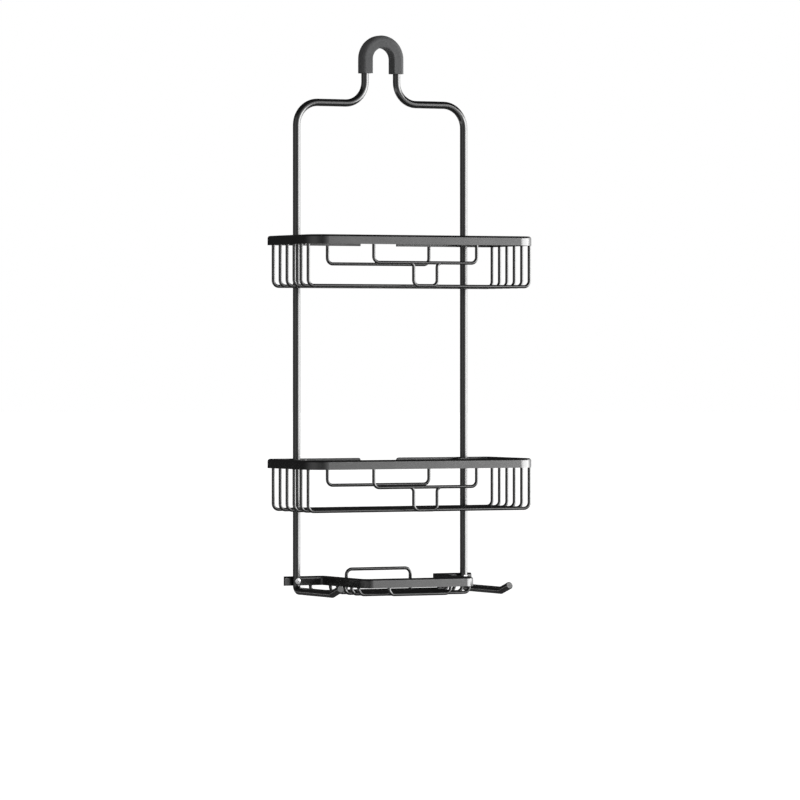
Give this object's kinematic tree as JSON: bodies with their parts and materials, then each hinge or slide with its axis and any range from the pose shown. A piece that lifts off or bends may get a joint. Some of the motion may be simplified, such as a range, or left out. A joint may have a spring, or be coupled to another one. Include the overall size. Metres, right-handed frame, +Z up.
{
  "type": "shower caddy",
  "caption": "Hanging shower caddy: a bent rod frame with a padded grip over the shower arm, wire baskets that slide on its rails, a soap dish and forward hooks.",
  "frame": {"origin": "on the axis of the shower arm that the grip sits on, in the plane of the rails", "axes": "+X to the right as seen from the room, +Y towards the wall along the shower arm, +Z up"},
  "size_m": [0.2722, 0.1193, 0.6056],
  "materials": {
    "black_coating": "satin black powder coat",
    "grip_rubber": "matte moulded rubber",
    "bare_steel": "bright stainless steel"
  },
  "bodies": {
    "frame": {"upper_frame": "black_coating", "arm_grip": "grip_rubber", "left_leg": "black_coating", "right_leg": "black_coating", "leg_studs": "bare_steel", "dish_rim": "black_coating", "dish_back_rib": "black_coating", "dish_rib_1": "black_coating", "dish_rib_2": "black_coating", "dish_rib_3": "black_coating", "dish_rib_4": "black_coating", "dish_rib_5": "black_coating", "dish_front_guard": "black_coating", "dish_back_arch": "black_coating", "dish_screws": "bare_steel", "dish_nuts": "bare_steel"},
    "upper_basket": {"upper_rim": "black_coating", "upper_rib_1": "black_coating", "upper_rib_2": "black_coating", "upper_rib_3": "black_coating", "upper_rib_4": "black_coating", "upper_rib_5": "black_coating", "upper_rib_6": "black_coating", "upper_front_guard": "black_coating", "upper_back_guard": "black_coating", "upper_razor_loop": "black_coating", "upper_left_clamp": "black_coating", "upper_right_clamp": "black_coating", "upper_clamp_screws": "bare_steel"},
    "lower_basket": {"lower_rim": "black_coating", "lower_rib_1": "black_coating", "lower_rib_2": "black_coating", "lower_rib_3": "black_coating", "lower_rib_4": "black_coating", "lower_rib_5": "black_coating", "lower_rib_6": "black_coating", "lower_front_guard": "black_coating", "lower_back_guard": "black_coating", "lower_razor_loop": "black_coating", "lower_left_clamp": "black_coating", "lower_right_clamp": "black_coating", "lower_clamp_screws": "bare_steel"}
  },
  "joints": [
    {"name": "upper_basket_slide", "type": "slide", "parent": "frame", "child": "upper_basket", "axis": [0, 0, 1], "range_m": [-0.08, 0.1]},
    {"name": "lower_basket_slide", "type": "slide", "parent": "frame", "child": "lower_basket", "axis": [0, 0, 1], "range_m": [-0.045, 0.08]}
  ]
}
